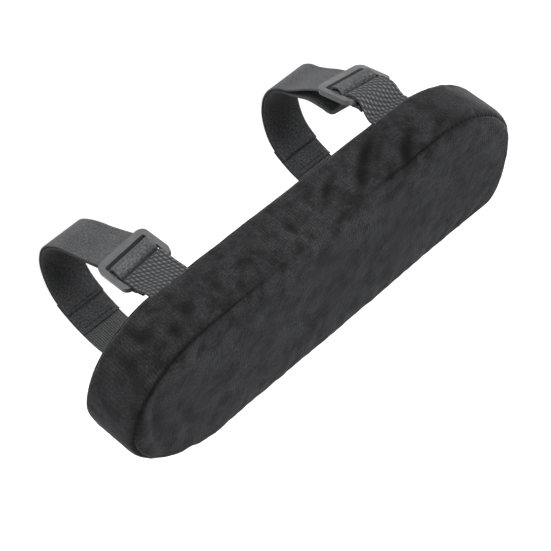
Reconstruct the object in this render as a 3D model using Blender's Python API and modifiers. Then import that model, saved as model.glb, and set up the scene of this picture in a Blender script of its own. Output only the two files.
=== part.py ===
"""Chair armrest pad: a foam block in a sewn velour cover, held on by two buckled strap loops.

+X runs along the pad, +Y across it and +Z up through the arm-contact face. The origin is the
centre of the underside, and the loops that go round the chair's arm hang below it. Metres.
"""

import math

import bmesh
import bpy
from mathutils import Matrix, Vector

MM = 0.001
GAP = 0.3 * MM

# Pad
LENGTH = 260 * MM
WIDTH = 82 * MM
THICKNESS = 35 * MM
EDGE_RADIUS = 5.5 * MM
# How far each corner of the outline reaches along X before the long side runs straight
CORNER_REACH = {(1, 1): 51 * MM, (-1, 1): 50 * MM, (-1, -1): 54 * MM, (1, -1): 21 * MM}
CORNER_POWER = 1.85
CORNER_STEPS = 12

# Sewn cover and foam
CLOTH = 1.2 * MM
SEAM_INSET = 0.29 * EDGE_RADIUS
FOAM_INSET = 4.0 * MM
FOAM_CLEARANCE = CLOTH + GAP
SEAM_THREAD_INSET = 4.7 * MM
SEAM_THREAD_DEPTH = 2.6 * MM
THREAD_RADIUS = 0.3 * MM

# Straps, of 25 mm webbing and elastic
STRAP_WIDTH = 24.2 * MM
WEBBING = 1.4 * MM
ELASTIC = 1.2 * MM
STRAP_ROOT_Y = 38.2 * MM
STRAP_ROOT_TOP = 5.5 * MM
STITCH_LENGTH = 20 * MM

# Buckle, a tri-glide seen from above: u runs from the pad to the loop, v out of its face
BUCKLE_LENGTH = 24 * MM
BUCKLE_WIDTH = 31 * MM
BUCKLE_THICKNESS = 3 * MM
BUCKLE_CORNER = 4 * MM
SLOT_WIDTH = 25.2 * MM
SLOTS = ((-8.0 * MM, -1.8 * MM), (2.2 * MM, 7.7 * MM))

# Zip in the long side at -Y
ZIP_MIDDLE_Z = 17 * MM
ZIP_START = -62 * MM
ZIP_END = 98 * MM
ZIP_SLOT_HALF = 4 * MM
TAPE_WIDTH = 7.5 * MM
TAPE = 0.6 * MM
COIL_DEPTH = 1.6 * MM
TOOTH_PITCH = 3.2 * MM
TOOTH_LENGTH = 1.2 * MM
SLIDER_LENGTH = 9 * MM
SLIDER_X = 90 * MM
PULL_LENGTH = 22 * MM

HALF_LENGTH = LENGTH / 2
HALF_WIDTH = WIDTH / 2
WALL_IN = HALF_WIDTH - CLOTH
TAPE_OUT = WALL_IN - GAP
COIL_IN = TAPE_OUT + GAP
COIL_OUT = COIL_IN + COIL_DEPTH
PLATE_IN = COIL_OUT + 0.4 * MM
PLATE_OUT = PLATE_IN + 1.1 * MM
PULL_AXIS_Y = -(PLATE_OUT + 1.05 * MM)

# The two loops. centre is the buckle's middle (Y, Z) and tilt its lean in degrees. drop scales the
# loop's depth below BEND_TOP. hump is how far the elastic stands up over the middle bar, slack how
# far its tail hangs off the band next to the buckle, and fade over what length it closes up again;
# for the first stretch of it, clear, the tail's own bend stands in. neck is how far out the webbing
# comes down to the buckle, fold_back its end under itself and tail the elastic where it turns back
# under the buckle, all in millimetres on the buckle.
BEND_TOP = -35.7 * MM
TAIL_END_Y = -48 * MM
LOOPS = {
    "rear": {
        "x": -70 * MM, "centre": (34.5, -23.7), "tilt": 6, "drop": 1.0, "neck": 1.9,
        "hump": 1.4, "slack": 0.7 * MM, "fade": 26 * MM, "clear": 0,
        "fold_back": ((-13.0, -1.9), (-15.5, -0.2), (-18.2, 0.0), (-20.2, 0.0)),
        "tail": ((-2.8, -3.7), (-0.6, -5.0), (4.0, -5.3), (9.0, -5.5)),
    },
    "front": {
        "x": 76 * MM, "centre": (38.5, -23.7), "tilt": 13, "drop": 0.9, "neck": 0.6,
        "hump": 0.4, "slack": 7.5 * MM, "fade": 45 * MM, "clear": 9 * MM,
        "fold_back": ((-12.6, -2.6), (-14.8, -2.6), (-16.8, -3.1)),
        "tail": ((-2.6, -4.6), (0.0, -8.4), (3.6, -12.0), (7.4, -13.4), (12.0, -12.4)),
    },
}

COLOURS = {
    "velour": ((0.018, 0.018, 0.020, 1), 0.9, 0.0),
    "foam": ((0.62, 0.60, 0.52, 1), 0.95, 0.0),
    "webbing": ((0.045, 0.046, 0.048, 1), 0.8, 0.0),
    "elastic": ((0.032, 0.033, 0.035, 1), 0.75, 0.0),
    "buckle": ((0.05, 0.052, 0.055, 1), 0.42, 0.0),
    "thread": ((0.012, 0.012, 0.013, 1), 0.6, 0.0),
    "tape": ((0.025, 0.025, 0.027, 1), 0.85, 0.0),
    "coil": ((0.02, 0.02, 0.022, 1), 0.4, 0.0),
    "metal": ((0.06, 0.06, 0.062, 1), 0.35, 1.0),
}


# ---------------------------------------------------------------- scene helpers

def clear_scene():
    for obj in list(bpy.data.objects):
        bpy.data.objects.remove(obj, do_unlink=True)


def new_collection(name):
    collection = bpy.data.collections.new(name)
    bpy.context.scene.collection.children.link(collection)
    return collection


def link(obj, collection):
    for other in list(obj.users_collection):
        other.objects.unlink(obj)
    collection.objects.link(obj)
    return obj


def paint(obj, kind):
    """Give an object its own Principled material."""
    colour, roughness, metallic = COLOURS[kind]
    material = bpy.data.materials.new(obj.name + "_material")
    material.use_nodes = True
    shader = material.node_tree.nodes["Principled BSDF"]
    shader.inputs["Base Color"].default_value = colour
    shader.inputs["Roughness"].default_value = roughness
    shader.inputs["Metallic"].default_value = metallic
    obj.data.materials.clear()
    obj.data.materials.append(material)
    return obj


def as_cutter(obj):
    link(obj, CUTTERS)
    obj.hide_render = True
    obj.display_type = "WIRE"
    return obj


def to_mesh(curve_object):
    """Replace a curve object by a mesh object with its caps welded on."""
    graph = bpy.context.evaluated_depsgraph_get()
    mesh = bpy.data.meshes.new_from_object(curve_object.evaluated_get(graph))
    work = bmesh.new()
    work.from_mesh(mesh)
    bmesh.ops.remove_doubles(work, verts=work.verts, dist=0.01 * MM)
    bmesh.ops.recalc_face_normals(work, faces=work.faces)
    work.to_mesh(mesh)
    work.free()
    name = curve_object.name
    matrix = curve_object.matrix_world.copy()
    bpy.data.objects.remove(curve_object, do_unlink=True)
    obj = bpy.data.objects.new(name, mesh)
    obj.matrix_world = matrix
    PARTS.objects.link(obj)
    return obj


def boolean(obj, cutter, operation="DIFFERENCE"):
    modifier = obj.modifiers.new(operation.title(), "BOOLEAN")
    modifier.operation = operation
    modifier.object = cutter
    return modifier


def box(name, low, high):
    """A box between two corners."""
    low = Vector(low)
    high = Vector(high)
    mesh = bpy.data.meshes.new(name)
    work = bmesh.new()
    bmesh.ops.create_cube(work, size=1)
    bmesh.ops.scale(work, vec=high - low, verts=work.verts)
    work.to_mesh(mesh)
    work.free()
    obj = bpy.data.objects.new(name, mesh)
    obj.location = (low + high) / 2
    PARTS.objects.link(obj)
    bpy.context.view_layer.update()
    return obj


def bevel(obj, width, segments=2):
    modifier = obj.modifiers.new("Bevel", "BEVEL")
    modifier.width = width
    modifier.segments = segments
    modifier.limit_method = "ANGLE"
    modifier.angle_limit = math.radians(50)
    return modifier


def flat_curve(name, outlines, thickness, matrix):
    """A flat sheet with the first outline as its edge and any others as holes."""
    data = bpy.data.curves.new(name, "CURVE")
    data.dimensions = "2D"
    data.fill_mode = "BOTH"
    data.extrude = thickness / 2
    for outline in outlines:
        spline = data.splines.new("POLY")
        spline.points.add(len(outline) - 1)
        for point, (x, y) in zip(spline.points, outline):
            point.co = (x, y, 0, 1)
        spline.use_cyclic_u = True
    obj = bpy.data.objects.new(name, data)
    obj.matrix_world = matrix
    PARTS.objects.link(obj)
    bpy.context.view_layer.update()
    return obj


def tube(name, points, radius, cyclic=False):
    """A thread or wire along a line of points."""
    data = bpy.data.curves.new(name, "CURVE")
    data.dimensions = "3D"
    data.bevel_depth = radius
    data.bevel_resolution = 1
    data.use_fill_caps = not cyclic
    spline = data.splines.new("POLY")
    spline.points.add(len(points) - 1)
    for point, place in zip(spline.points, points):
        point.co = (*place, 1)
    spline.use_cyclic_u = cyclic
    obj = bpy.data.objects.new(name, data)
    PARTS.objects.link(obj)
    return obj


# ---------------------------------------------------------------- pad

def pad_outline(inset):
    """The pad's outline seen from above, with a superellipse quarter at each corner."""
    points = []
    for quarter, (sx, sy) in enumerate(((1, 1), (-1, 1), (-1, -1), (1, -1))):
        reach = CORNER_REACH[sx, sy] - inset
        for step in range(CORNER_STEPS + 1):
            angle = math.radians(90) * (quarter + step / CORNER_STEPS)
            along = abs(math.cos(angle)) ** (2 / CORNER_POWER)
            across = abs(math.sin(angle)) ** (2 / CORNER_POWER)
            x = sx * (HALF_LENGTH - inset - reach + reach * along)
            y = sy * (HALF_WIDTH - inset) * across
            if points and (Vector((x, y)) - Vector(points[-1])).length < GAP:
                continue
            points.append((x, y))
    return points[:-1]


def slab(name, inset, low, high, radius):
    """A block with the pad's outline and rounded upper and lower edges."""
    middle = Matrix.Translation((0, 0, (low + high) / 2))
    obj = flat_curve(name, [pad_outline(inset + radius)], high - low - 2 * radius, middle)
    obj.data.bevel_depth = radius
    obj.data.bevel_resolution = 3
    return to_mesh(obj)


def cover_piece(name, hollow, low, high):
    """The stretch of the cover's skin between two heights."""
    piece = slab(name, 0, 0, THICKNESS, EDGE_RADIUS)
    boolean(piece, hollow)
    reach = HALF_LENGTH + 10 * MM
    zone = as_cutter(box(name + "_zone", (-reach, -reach, low), (reach, reach, high)))
    boolean(piece, zone, "INTERSECT")
    return paint(piece, "velour")


def make_cover():
    hollow = slab("hollow", CLOTH, CLOTH, THICKNESS - CLOTH, EDGE_RADIUS - CLOTH)
    as_cutter(hollow)
    low_seam = SEAM_INSET
    high_seam = THICKNESS - SEAM_INSET
    far = 10 * MM
    bottom = cover_piece("cover_bottom_panel", hollow, -far, low_seam - GAP / 2)
    side = cover_piece("cover_side_band", hollow, low_seam + GAP / 2, high_seam - GAP / 2)
    cover_piece("cover_top_panel", hollow, high_seam + GAP / 2, THICKNESS + far)
    half = STRAP_WIDTH / 2 + GAP
    near = STRAP_ROOT_Y - WEBBING / 2 - GAP
    wide = STRAP_ROOT_Y + WEBBING / 2 + GAP
    for loop_name, loop in LOOPS.items():
        for side_name, sign in (("upper", 1), ("lower", -1)):
            y_low = min(sign * near, sign * wide)
            y_high = max(sign * near, sign * wide)
            low = (loop["x"] - half, y_low, -far)
            high = (loop["x"] + half, y_high, STRAP_ROOT_TOP + GAP)
            notch = as_cutter(box(f"{loop_name}_{side_name}_notch", low, high))
            boolean(side, notch)
            y_far = sign * (HALF_WIDTH + far)
            low = (loop["x"] - half, min(sign * near, y_far), -far)
            high = (loop["x"] + half, max(sign * near, y_far), low_seam + GAP)
            mouth = as_cutter(box(f"{loop_name}_{side_name}_mouth", low, high))
            boolean(bottom, mouth)
    low = (ZIP_START - 4 * MM, -HALF_WIDTH - far, ZIP_MIDDLE_Z - ZIP_SLOT_HALF)
    high = (ZIP_END + 2 * MM, -WALL_IN + far, ZIP_MIDDLE_Z + ZIP_SLOT_HALF)
    boolean(side, as_cutter(box("zip_slot", low, high)))


def make_foam():
    foam = slab("foam_core", FOAM_INSET, FOAM_CLEARANCE, THICKNESS - FOAM_CLEARANCE, 5 * MM)
    paint(foam, "foam")


def make_seam_threads():
    """The lockstitch rows, which lie in the seam allowance inside the cover."""
    for name, z in (
        ("bottom_seam_thread", SEAM_THREAD_DEPTH),
        ("top_seam_thread", THICKNESS - SEAM_THREAD_DEPTH),
    ):
        ring = [(x, y, z) for x, y in pad_outline(SEAM_THREAD_INSET)]
        paint(tube(name, ring, THREAD_RADIUS, cyclic=True), "thread")


# ---------------------------------------------------------------- straps

def smooth(points, steps=5):
    """Points along a Catmull-Rom curve through the given points."""
    ends = [2 * points[0] - points[1], *points, 2 * points[-1] - points[-2]]
    out = []
    for a, b, c, d in zip(ends, ends[1:], ends[2:], ends[3:]):
        for step in range(steps):
            t = step / steps
            curve = 2 * b + (c - a) * t + (2 * a - 5 * b + 4 * c - d) * t * t
            out.append((curve + (3 * b - a - 3 * c + d) * t * t * t) / 2)
    return [*out, points[-1]]


def normals(path):
    """The unit normal to the left of a path at each of its points."""
    out = []
    for index in range(len(path)):
        ahead = path[min(index + 1, len(path) - 1)] - path[max(index - 1, 0)]
        out.append(Vector((-ahead.y, ahead.x)).normalized())
    return out


def ribbon(name, path, thickness, x, kind):
    """A strap of even thickness whose middle follows a path in the plane across the pad."""
    sides = normals(path)
    left = [p + n * thickness / 2 for p, n in zip(path, sides)]
    right = [p - n * thickness / 2 for p, n in zip(path, sides)]
    across = Matrix(((0, 0, 1, x), (1, 0, 0, 0), (0, 1, 0, 0), (0, 0, 0, 1)))
    return paint(flat_curve(name, [left + right[::-1]], STRAP_WIDTH, across), kind)


def cross_stitch(name, place, x):
    """A row of thread across a strap."""
    ends = [(x + side * STITCH_LENGTH / 2, place.x, place.y) for side in (-1, 1)]
    return paint(tube(name, ends, THREAD_RADIUS), "thread")


def yz(*pairs):
    return [Vector((y * MM, z * MM)) for y, z in pairs]


def on_buckle(loop, *pairs):
    """Places given as (u, v) in millimetres on the buckle, as points across the pad."""
    tilt = math.radians(loop["tilt"])
    u_axis = Vector((-math.sin(tilt), -math.cos(tilt)))
    v_axis = Vector((math.cos(tilt), -math.sin(tilt)))
    centre = Vector(loop["centre"])
    return [(centre + u_axis * u + v_axis * v) * MM for u, v in pairs]


def rounded_rectangle(u0, u1, half_width, radius, steps=4):
    points = []
    for quarter, (u, w) in enumerate((
        (u1 - radius, half_width - radius),
        (u0 + radius, half_width - radius),
        (u0 + radius, radius - half_width),
        (u1 - radius, radius - half_width),
    )):
        for step in range(steps + 1):
            angle = math.radians(90) * (quarter + step / steps)
            points.append((u + radius * math.cos(angle), w + radius * math.sin(angle)))
    return points


def make_buckle(name, loop):
    outlines = [rounded_rectangle(
        -BUCKLE_LENGTH / 2, BUCKLE_LENGTH / 2, BUCKLE_WIDTH / 2, BUCKLE_CORNER)]
    for u0, u1 in SLOTS:
        outlines.append(rounded_rectangle(u0, u1, SLOT_WIDTH / 2, 0.8 * MM, 2))
    origin, along, out = on_buckle(loop, (0, 0), (1, 0), (0, 1))
    along = (along - origin).normalized()
    out = (out - origin).normalized()
    matrix = Matrix((
        (0, -1, 0, loop["x"]),
        (along.x, 0, out.x, origin.x),
        (along.y, 0, out.y, origin.y),
        (0, 0, 0, 1),
    ))
    buckle = flat_curve(name, outlines, BUCKLE_THICKNESS, matrix)
    weld = buckle.modifiers.new("Weld", "WELD")
    weld.merge_threshold = 0.01 * MM
    bevel(buckle, 0.5 * MM)
    return paint(buckle, "buckle")


def deepen(points, drop):
    """Scale a loop's depth below the level where its bend begins."""
    out = []
    for point in points:
        z = point.y
        if z < BEND_TOP:
            z = BEND_TOP + (z - BEND_TOP) * drop
        out.append(Vector((point.x, z)))
    return out


def elastic_paths(loop):
    """The elastic's path: round the bend, through the buckle, and back as the tail."""
    bend = deepen(yz(
        (-52.4, -66.2), (-51.9, -69.0), (-49.6, -75.6), (-46.4, -82.2), (-41.8, -87.6),
        (-35.4, -91.2), (-26.5, -93.2), (-17.0, -93.2), (-6.3, -90.2), (3.8, -83.9),
        (11.3, -75.0), (15.6, -66.6), (18.8, -57.0), (23.6, -46.6),
    ), loop["drop"])
    hump = loop["hump"]
    threaded = on_buckle(
        loop,
        (14, -3.0), (11, -2.6), (8.4, -2.6), (6.2, -1.6), (4.9, -0.2), (3.9, 1.3),
        (2.7, 2.7 + 0.4 * hump), (0.2, 3.0 + hump), (-2.1, 2.6 + 0.4 * hump),
        (-3.1, 1.2), (-3.3, -0.5), (-3.3, -2.2), *loop["tail"],
    )
    main = smooth(bend + threaded[:1])
    tail = []
    travelled = 0
    sides = normals(main)
    for index in range(len(main) - 1, 0, -1):
        if main[index].x < TAIL_END_Y:
            break
        slack = max(0.0, 1 - travelled / loop["fade"]) ** 2 * loop["slack"]
        if travelled >= loop["clear"]:
            tail.append(main[index] + sides[index] * (1.5 * MM + slack))
        travelled += (main[index] - main[index - 1]).length
    path = smooth(bend + threaded)
    return path[:-1] + smooth([path[-1], *tail[::4], tail[-1]], 3)[1:], main


def make_loop(name, loop):
    x = loop["x"]
    make_buckle(name + "_buckle", loop)
    root = STRAP_ROOT_Y / MM
    top = STRAP_ROOT_TOP / MM
    upper = smooth(yz((root, top), (root, 1.5), (root, -1.5)) + on_buckle(
        loop,
        (-17, loop["neck"]), (-13.6, 2.2), (-10, 2.6), (-7.7, 2.2), (-6.5, 0.7),
        (-6.5, -0.8), (-7.7, -2.3), (-10, -2.7), *loop["fold_back"],
    ))
    ribbon(name + "_upper_webbing", upper, WEBBING, x, "webbing")
    leg = deepen(yz(
        (-root, top), (-root, 1.5), (-root - 0.7, -4.0), (-43.0, -14.0), (-48.6, -27.0),
        (-53.0, -41.0), (-54.9, -54.0), (-54.4, -64.0), (-52.1, -73.5), (-48.2, -82.0),
        (-45.3, -86.4),
    ), loop["drop"])
    ribbon(name + "_lower_webbing", smooth(leg), WEBBING, x, "webbing")
    path, main = elastic_paths(loop)
    ribbon(name + "_elastic", path, ELASTIC, x, "elastic")
    lift = ELASTIC / 2 + GAP + THREAD_RADIUS
    sides = normals(main)
    cross_stitch(name + "_overlap_stitch", main[6] + sides[6] * lift, x)
    last = normals(path)[-4]
    cross_stitch(name + "_tail_hem_stitch", path[-4] - last * lift, x)
    u, v = loop["fold_back"][-2]
    fold = on_buckle(loop, (u, v - (WEBBING / 2 + GAP + THREAD_RADIUS) / MM))[0]
    cross_stitch(name + "_fold_stitch", fold, x)


# ---------------------------------------------------------------- zip

def zip_tape(name, sign):
    low = ZIP_MIDDLE_Z + sign * 0.5 * MM
    high = ZIP_MIDDLE_Z + sign * (0.5 * MM + TAPE_WIDTH)
    ends = (ZIP_START - 6 * MM, ZIP_END + 6 * MM)
    tape = box(
        name,
        (ends[0], -TAPE_OUT, min(low, high)),
        (ends[1], -TAPE_OUT + TAPE, max(low, high)),
    )
    paint(tape, "tape")


def zip_coil(name, sign):
    """One row of the coil, as a comb whose teeth reach just past the middle line."""
    back = 1.9 * MM
    root = 1.2 * MM
    tip = -0.5 * MM
    start = ZIP_START + (0 if sign > 0 else TOOTH_PITCH / 2)
    count = int((ZIP_END - ZIP_START) / TOOTH_PITCH) - 1
    outline = []
    for tooth in range(count):
        x = start + tooth * TOOTH_PITCH
        outline += [(x, tip), (x + TOOTH_LENGTH, tip)]
        if tooth < count - 1:
            outline += [(x + TOOTH_LENGTH, root), (x + TOOTH_PITCH, root)]
    outline += [(outline[-1][0], back), (outline[0][0], back)]
    depth = -(COIL_IN + COIL_OUT) / 2
    matrix = Matrix(((1, 0, 0, 0), (0, 0, 1, depth), (0, sign, 0, ZIP_MIDDLE_Z), (0, 0, 0, 1)))
    paint(flat_curve(name, [outline], COIL_DEPTH, matrix), "coil")


def make_slider():
    """A channel that straddles the coil, with a bail on its back for the pull tab."""
    half = 3.6 * MM
    inner = 2.3 * MM
    lip = -(TAPE_OUT + 0.4 * MM)
    profile = [
        (-half, lip), (-half, -PLATE_OUT), (half, -PLATE_OUT), (half, lip),
        (inner, lip), (inner, -PLATE_IN), (-inner, -PLATE_IN), (-inner, lip),
    ]
    matrix = Matrix(((0, 0, 1, SLIDER_X), (0, 1, 0, 0), (1, 0, 0, ZIP_MIDDLE_Z), (0, 0, 0, 1)))
    slider = to_mesh(flat_curve("zip_slider", [profile], SLIDER_LENGTH, matrix))
    sink = -PLATE_OUT + 0.3 * MM
    top = -(PLATE_OUT + 2.9 * MM)
    under = -(PLATE_OUT + 2.1 * MM)
    reach = 3.5 * MM
    leg = 2.7 * MM
    arch = [
        (-reach, sink), (-reach, under - 0.2 * MM), (-leg, top), (leg, top),
        (reach, under - 0.2 * MM), (reach, sink), (leg, sink), (leg, under),
        (-leg, under), (-leg, sink),
    ]
    matrix = Matrix(((1, 0, 0, SLIDER_X), (0, 1, 0, 0), (0, 0, 1, ZIP_MIDDLE_Z), (0, 0, 0, 1)))
    bail = as_cutter(to_mesh(flat_curve("bail", [arch], 1.6 * MM, matrix)))
    boolean(slider, bail, "UNION")
    paint(slider, "metal")


def make_pull_tab():
    bar = 0.6 * MM
    half = 2.4 * MM
    outline = [(bar, -half), (bar, half), (-7 * MM, half), (-PULL_LENGTH + 3 * MM, 3.2 * MM)]
    for step in range(7):
        angle = math.radians(90 + 30 * step)
        x = -PULL_LENGTH + 3 * MM + 3.2 * MM * math.cos(angle)
        outline.append((x, 3.2 * MM * math.sin(angle)))
    outline = outline[:3] + outline[4:] + [(-7 * MM, -half)]
    hole = [(-bar, -1.2 * MM), (-5.5 * MM, -1.2 * MM), (-5.5 * MM, 1.2 * MM), (-bar, 1.2 * MM)]
    place = (SLIDER_X, PULL_AXIS_Y, ZIP_MIDDLE_Z)
    matrix = Matrix.Translation(place) @ Matrix.Rotation(math.radians(90), 4, "X")
    paint(flat_curve("zip_pull_tab", [outline, hole], 2 * bar, matrix), "metal")


def make_zip():
    zip_tape("zip_upper_tape", 1)
    zip_tape("zip_lower_tape", -1)
    zip_coil("zip_upper_coil", 1)
    zip_coil("zip_lower_coil", -1)
    make_slider()
    make_pull_tab()
    for name, x in (("zip_open_stop", ZIP_START - 2.6 * MM), ("zip_closed_stop", ZIP_END)):
        low = (x - 0.8 * MM, -COIL_OUT, ZIP_MIDDLE_Z - 1.9 * MM)
        high = (x + 0.8 * MM, -COIL_IN, ZIP_MIDDLE_Z + 1.9 * MM)
        stop = box(name, low, high)
        bevel(stop, 0.3 * MM)
        paint(stop, "metal")


clear_scene()
PARTS = new_collection("chair_armrest_pad")
CUTTERS = new_collection("cutters")
make_foam()
make_cover()
make_seam_threads()
for loop_name, loop in LOOPS.items():
    make_loop(loop_name, loop)
make_zip()
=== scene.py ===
"""Looks of the chair armrest pad: velour cover over foam, two buckled strap loops, and a zip.

The frame's axes: +X along the pad, +Y across it, +Z up through the arm-contact face. Metres.
"""

import math

import bmesh
import bpy
import numpy as np
from mathutils import Matrix, Vector, kdtree, noise


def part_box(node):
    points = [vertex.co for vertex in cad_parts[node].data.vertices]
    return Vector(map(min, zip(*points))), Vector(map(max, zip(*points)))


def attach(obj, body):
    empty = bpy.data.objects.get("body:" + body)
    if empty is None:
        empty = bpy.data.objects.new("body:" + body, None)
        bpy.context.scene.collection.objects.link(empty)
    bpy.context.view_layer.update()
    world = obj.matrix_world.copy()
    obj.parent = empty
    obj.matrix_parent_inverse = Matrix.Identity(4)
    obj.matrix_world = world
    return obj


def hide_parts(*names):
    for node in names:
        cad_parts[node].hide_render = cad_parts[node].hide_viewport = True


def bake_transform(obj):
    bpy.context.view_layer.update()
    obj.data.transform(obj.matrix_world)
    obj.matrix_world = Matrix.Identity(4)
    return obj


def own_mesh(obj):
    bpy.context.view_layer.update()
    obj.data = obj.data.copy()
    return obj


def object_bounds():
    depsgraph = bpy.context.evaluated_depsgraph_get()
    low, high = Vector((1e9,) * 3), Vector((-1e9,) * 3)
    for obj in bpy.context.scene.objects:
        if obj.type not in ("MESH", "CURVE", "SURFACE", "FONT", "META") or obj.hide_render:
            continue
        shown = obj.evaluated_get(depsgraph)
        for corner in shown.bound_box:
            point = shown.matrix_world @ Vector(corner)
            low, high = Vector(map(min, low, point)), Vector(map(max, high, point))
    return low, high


MM = 0.001

# Camera, set at the viewing angle from which the pad shows its face and one long side
CAMERA_PLACE = (-471.6 * MM, 948.1 * MM, 616.0 * MM)
CAMERA_FORWARD = (0.37653, -0.78080, -0.49857)
CAMERA_UP = (0.57553, 0.61888, -0.53456)
CAMERA_LENS = 163.3

# Pad
EDGE_RADIUS = 5.5 * MM
CORNER_REACH = {(1, 1): 51 * MM, (-1, 1): 50 * MM, (-1, -1): 54 * MM, (1, -1): 21 * MM}
CORNER_POWER = 1.85
TAPER = 0.078
CLOTH = 1.0 * MM
COLUMNS = 120
ROWS = 36
CROWN_CAP = 1.3 * MM

# Zip in the long side at -Y
ZIP_MIDDLE = 17 * MM
ZIP_FLOOR = -38.2 * MM
ZIP_LIP = (4.6 * MM, 5.4 * MM)

# Straps
STRAP_WIDTH = 24.2 * MM
WEBBING = 1.5 * MM
ELASTIC = 1.25 * MM
STRAP_ROOT = (38.6 * MM, 5.5 * MM)
EDGE_ROUND = 0.7 * MM
BUCKLE_LENGTH = 24 * MM
BUCKLE_WIDTH = 31 * MM
BUCKLE_THICKNESS = 3 * MM
SLOT_WIDTH = 25.2 * MM
SLOTS = ((-8.0 * MM, -1.8 * MM), (2.2 * MM, 7.7 * MM))

# The two loops. centre is the buckle's middle (Y, Z) and tilt its lean in degrees. twist turns it
# about the hanging direction, and drop scales the loop's depth below BEND_TOP. rise is the band's
# last stretch up to the buckle, and hump, slack, fade and clear shape the elastic over the middle
# bar and its tail behind the band. neck, fold_back and tail are places on the buckle, in millimetres.
BEND_TOP = -35.7 * MM
TAIL_END_Y = -48.5 * MM
LAYER_STEP = 1.5 * MM
# Points of the elastic's path at its two joint rows, and of its tail's hem counted from the end
JOINT_ROWS = (5, 16)
HEM_ROW = -4
LOOPS = {
    "rear": {
        "centre": (33.4, -23.9), "tilt": 6, "twist": 8, "drop": 1.0, "neck": 1.9, "hump": 1.7,
        "slack": 0.7 * MM, "fade": 26 * MM, "clear": 0,
        "rise": ((18.8, -57.0), (23.6, -46.6)),
        "fold_back": ((-13.0, -1.9), (-15.5, -0.2), (-18.2, 0.0), (-20.2, 0.0)),
        "tail": ((-2.8, -3.7), (-0.6, -5.0), (4.0, -5.3), (9.0, -5.5)),
    },
    "front": {
        "centre": (38.5, -23.7), "tilt": 13, "twist": -12, "drop": 0.87, "neck": 0.6, "hump": 0.4,
        "slack": 7.5 * MM, "fade": 45 * MM, "clear": 9 * MM,
        "rise": ((21.2, -57.5), (27.4, -47.5)),
        "fold_back": ((-12.6, -2.6), (-14.8, -2.6), (-16.8, -3.1)),
        "tail": ((-2.6, -4.6), (0.0, -8.4), (3.6, -12.0), (7.4, -13.4), (12.0, -12.4)),
    },
}

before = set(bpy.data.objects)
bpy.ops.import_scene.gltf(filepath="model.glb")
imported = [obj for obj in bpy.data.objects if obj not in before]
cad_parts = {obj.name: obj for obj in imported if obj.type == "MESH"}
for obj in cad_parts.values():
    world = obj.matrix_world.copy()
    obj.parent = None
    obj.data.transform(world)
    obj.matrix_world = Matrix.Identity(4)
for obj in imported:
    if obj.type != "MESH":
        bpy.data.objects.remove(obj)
cad_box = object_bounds()


# ---------------------------------------------------------------- small helpers

def smoothstep(value, low, high):
    t = np.clip((value - low) / (high - low), 0, 1)
    return t * t * (3 - 2 * t)


def new_object(name, mesh):
    obj = bpy.data.objects.new(name, mesh)
    bpy.context.scene.collection.objects.link(obj)
    return obj


def mesh_object(name, points, faces):
    mesh = bpy.data.meshes.new(name)
    mesh.from_pydata([tuple(p) for p in points], [], faces)
    mesh.shade_smooth()
    return new_object(name, mesh)


def evaluated(obj):
    """The object's mesh with its modifiers applied, as a new mesh."""
    graph = bpy.context.evaluated_depsgraph_get()
    return bpy.data.meshes.new_from_object(obj.evaluated_get(graph), depsgraph=graph)


def apply_modifiers(obj):
    mesh = evaluated(obj)
    obj.modifiers.clear()
    obj.data = mesh
    return obj


def get_points(mesh):
    points = np.zeros(len(mesh.vertices) * 3)
    mesh.vertices.foreach_get("co", points)
    return points.reshape(-1, 3)


def set_points(mesh, points):
    mesh.vertices.foreach_set("co", np.asarray(points, float).ravel())
    mesh.update()


def get_normals(mesh):
    return np.array([tuple(v.normal) for v in mesh.vertices])


def add_values(mesh, name, values):
    """A number for each point of the mesh, which materials can read."""
    attribute = mesh.attributes.new(name, "FLOAT", "POINT")
    attribute.data.foreach_set("value", np.asarray(values, np.float32))


def get_values(mesh, name):
    values = np.zeros(len(mesh.vertices), np.float32)
    mesh.attributes[name].data.foreach_get("value", values)
    return values


def cloud(points, size, seed=0.0):
    """Smooth noise from -1 to 1, with lumps of the given size."""
    offset = Vector((seed, 1.7 * seed, -2.3 * seed))
    return np.array([noise.noise(Vector(p) / size + offset) for p in points])


# ---------------------------------------------------------------- material nodes

def start(name, colour, roughness):
    material = bpy.data.materials.new(name)
    material.use_nodes = True
    shader = material.node_tree.nodes["Principled BSDF"]
    shader.inputs["Base Color"].default_value = (*colour, 1)
    shader.inputs["Roughness"].default_value = roughness
    return material, material.node_tree, shader


def add(tree, kind, **inputs):
    """A node with its inputs, by name or as i0, i1, set to numbers or linked to other outputs."""
    made = tree.nodes.new(kind)
    for key, value in inputs.items():
        socket = made.inputs[int(key[1:])] if key[1:].isdigit() else made.inputs[key]
        if isinstance(value, bpy.types.NodeSocket):
            tree.links.new(value, socket)
        else:
            socket.default_value = value
    return made


def math_of(tree, operation, a, b=0.0):
    made = add(tree, "ShaderNodeMath", i0=a, i1=b)
    made.operation = operation
    return made.outputs[0]


def half_up(tree, wave):
    """A wave from -1 to 1 as a value from 0 to 1."""
    return math_of(tree, "ADD", math_of(tree, "MULTIPLY", wave, 0.5), 0.5)


def place_of(tree, scale=(1, 1, 1)):
    """The place on the piece, stretched."""
    coordinates = tree.nodes.new("ShaderNodeTexCoord")
    made = add(tree, "ShaderNodeMapping", Vector=coordinates.outputs["Object"], Scale=scale)
    return made.outputs[0]


def strap_of(tree, scale=(1, 1, 1)):
    """The place on a strap, as along, across and side, stretched."""
    read = tree.nodes.new("ShaderNodeAttribute")
    read.attribute_name = "strap"
    made = add(tree, "ShaderNodeMapping", Vector=read.outputs["Vector"], Scale=scale)
    return made.outputs[0]


def value_of(tree, name):
    read = tree.nodes.new("ShaderNodeAttribute")
    read.attribute_name = name
    return read.outputs["Fac"]


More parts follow.
